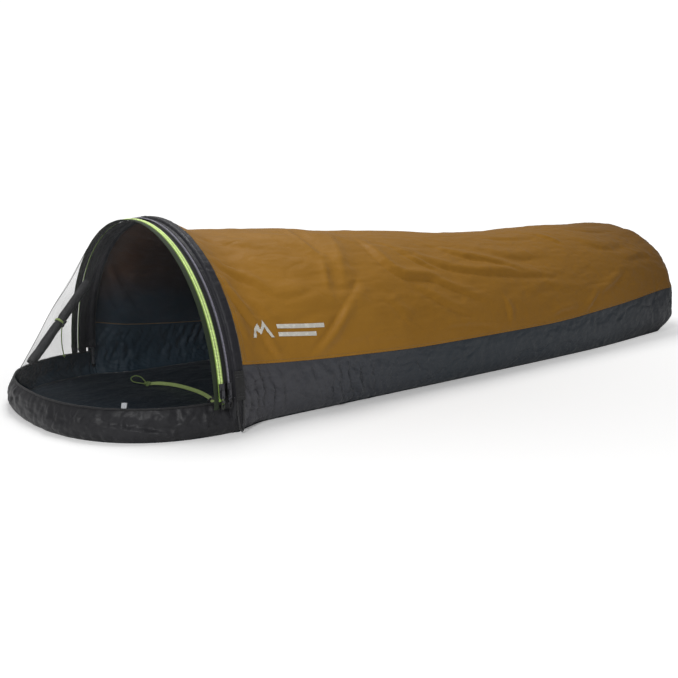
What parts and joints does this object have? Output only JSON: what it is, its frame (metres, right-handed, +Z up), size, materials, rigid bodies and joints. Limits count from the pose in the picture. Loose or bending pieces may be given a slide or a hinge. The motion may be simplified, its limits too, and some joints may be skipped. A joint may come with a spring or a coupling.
{
  "type": "bivy sack",
  "caption": "Low single-hoop bivy sack: a waterproof tube with a tub floor, a netting end that unzips and folds forward, and a rolled storm door.",
  "frame": {"origin": "on the ground under the middle of the bag's length and width", "axes": "+X from the head to the foot, +Y across the bag, +Z up"},
  "size_m": [2.08, 0.678, 0.3979],
  "materials": {
    "canopy_nylon": "coated ripstop, satin",
    "tub_nylon": "coated nylon, satin",
    "floor_nylon": "coated nylon, satin",
    "piping_tape": "matte tape",
    "binding_tape": "matte tape",
    "sleeve_nylon": "coated nylon, satin",
    "pole_alloy": "anodised",
    "elastic_cord": "matte",
    "black_plastic": "moulded",
    "black_webbing": "woven",
    "black_cord": "braided",
    "grey_zip": "coil zip",
    "lime_zip": "coil zip",
    "zip_metal": "satin",
    "slider_metal": "satin black",
    "storm_door_nylon": "coated nylon, satin",
    "lime_elastic": "knitted",
    "lime_webbing": "woven",
    "lime_cord": "braided",
    "net_mesh": "fine net",
    "net_tape": "matte tape",
    "white_tape": "matte tape"
  },
  "bodies": {
    "root": {"floor_panel": "floor_nylon", "head_wall": "tub_nylon", "tub_wall": "tub_nylon", "canopy": "canopy_nylon", "foot_panel": "canopy_nylon", "seam_piping": "piping_tape", "rim_binding": "binding_tape", "hoop_sleeve": "sleeve_nylon", "pole_near": "pole_alloy", "pole_far": "pole_alloy", "pole_ferrule": "pole_alloy", "shock_cord": "elastic_cord", "pole_tip_near": "black_plastic", "pole_tip_far": "black_plastic", "pole_pocket_near": "tub_nylon", "pole_pocket_far": "tub_nylon", "corner_tab_near": "black_webbing", "corner_tab_far": "black_webbing", "stake_loop_near": "black_cord", "stake_loop_far": "black_cord", "stake_loop_foot": "black_webbing", "storm_zip_chain": "grey_zip", "zip_facing_tape": "binding_tape", "net_zip_hoop_chain": "lime_zip", "zip_end_stops": "zip_metal", "storm_door_roll": "storm_door_nylon", "door_band": "lime_elastic", "door_toggle": "black_plastic", "door_toggle_cord": "lime_elastic", "net_panel": "net_mesh", "tie_strap": "lime_webbing", "tie_strap_bead": "black_plastic", "rim_tab": "white_tape"},
    "net_arch": {"net_zip_door_chain": "lime_zip", "net_edge_tape": "net_tape"},
    "net_slider": {"net_slider": "slider_metal"},
    "net_pull": {"net_pull_tab": "slider_metal", "net_pull_cord": "lime_cord"},
    "storm_slider": {"storm_slider": "slider_metal"},
    "storm_pull": {"storm_pull_tab": "slider_metal", "storm_pull_cord": "black_cord"}
  },
  "joints": [
    {"name": "door_fold", "type": "hinge", "parent": "root", "child": "net_arch", "pos_m": [-0.7884, 0, 0.06], "axis": [0, -1, 0], "range_deg": [0, 88], "deforming": ["net_panel"]},
    {"name": "net_slider_run", "type": "hinge", "parent": "root", "child": "net_slider", "pos_m": [-0.748, 0, 0.062], "axis": [-1, 0, 0], "range_deg": [0, 171.2]},
    {"name": "net_pull_swing", "type": "hinge", "parent": "net_slider", "child": "net_pull", "pos_m": [-0.7884, -0.33521, 0.08779], "axis": [-1, 0, 0], "range_deg": [0, 170]},
    {"name": "storm_slider_run", "type": "hinge", "parent": "root", "child": "storm_slider", "pos_m": [-0.748, 0, 0.062], "axis": [-1, 0, 0], "range_deg": [0, 171.2]},
    {"name": "storm_pull_swing", "type": "hinge", "parent": "storm_slider", "child": "storm_pull", "pos_m": [-0.7732, -0.3367, 0.08791], "axis": [-1, 0, 0], "range_deg": [0, 170]}
  ],
  "couplings": [
    {"joint": "net_slider_run", "follows": "door_fold", "ratio": 1.9454}
  ]
}
